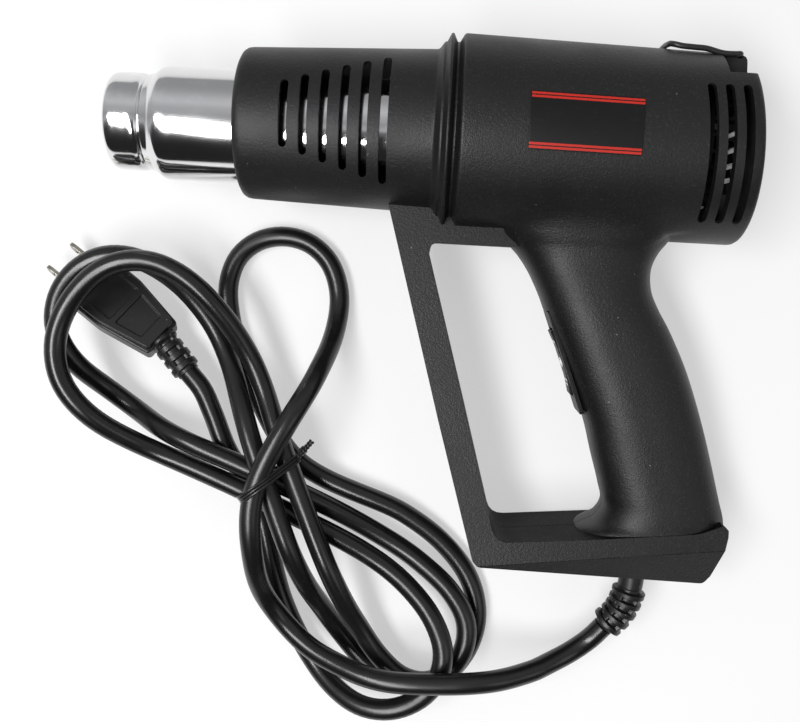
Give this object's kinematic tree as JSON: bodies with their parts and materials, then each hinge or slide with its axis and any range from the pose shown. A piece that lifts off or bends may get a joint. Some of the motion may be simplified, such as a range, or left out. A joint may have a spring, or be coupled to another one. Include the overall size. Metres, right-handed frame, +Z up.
{
  "type": "hot air tool",
  "caption": "Corded hot air tool with a metal nozzle, vented barrel, pistol grip, hand guard, rocker switch, wire hanging bail and a folded mains lead with a flat two-blade plug.",
  "frame": {"origin": "on the ground under the middle of the tool's box, the lead left out", "axes": "+X along the barrel from nozzle to rear, +Y towards the top of the housing, +Z up from the ground the tool lies on"},
  "size_m": [0.2668, 0.2604, 0.0697],
  "materials": {
    "black_plastic": "fine-textured satin black",
    "switch_plastic": "smooth satin black",
    "cord_pvc": "smooth satin black vinyl",
    "chrome": "polished",
    "steel": "plain",
    "black_wire": "black coated wire",
    "plate": "black label with red edge stripes",
    "mica": "pressed mica sheet",
    "ceramic": "unglazed",
    "brass": "plain",
    "white_nylon": "natural nylon",
    "board": "green board",
    "lead_red": "insulated wire"
  },
  "bodies": {
    "tool": {"left_shell": "black_plastic", "right_shell": "black_plastic", "nozzle_tube": "chrome", "mica_sleeve": "mica", "heater_former": "mica", "heater_coil": "steel", "heater_holder": "ceramic", "nozzle_clamp": "steel", "thermal_cutout": "brass", "motor_can": "steel", "motor_end_cap": "white_nylon", "motor_mount": "black_plastic", "rectifier_board": "board", "switch_body": "switch_plastic", "nameplate": "plate", "strain_relief": "cord_pvc", "cord_clamp": "white_nylon", "clamp_screw_1": "steel", "clamp_screw_2": "steel", "supply_lead": "lead_red", "motor_lead": "lead_red", "power_cord": "cord_pvc", "cord_tie": "black_wire", "plug_body": "cord_pvc", "plug_blade_1": "brass", "plug_blade_2": "brass", "shell_screw_1": "steel", "shell_screw_2": "steel", "shell_screw_3": "steel", "shell_screw_4": "steel", "shell_screw_5": "steel", "shell_screw_6": "steel", "shell_screw_7": "steel"},
    "rocker": {"switch_rocker": "switch_plastic"},
    "bail": {"hang_bail": "black_wire"},
    "fan": {"motor_shaft": "steel", "fan_impeller": "white_nylon"}
  },
  "joints": [
    {"name": "rocker_tilt", "type": "hinge", "parent": "tool", "child": "rocker", "pos_m": [0.0535, -0.00562, 0.02681], "axis": [0, -0.097, 0.9953], "range_deg": [-10, 10]},
    {"name": "bail_swing", "type": "hinge", "parent": "tool", "child": "bail", "pos_m": [0.1038, 0.10416, 0.03751], "axis": [0, 0.097, -0.9953], "range_deg": [0, 150]},
    {"name": "fan_spin", "type": "hinge", "parent": "tool", "child": "fan", "pos_m": [0.0978, 0.0743, 0.0346], "axis": [1, 0, 0], "continuous": true}
  ]
}
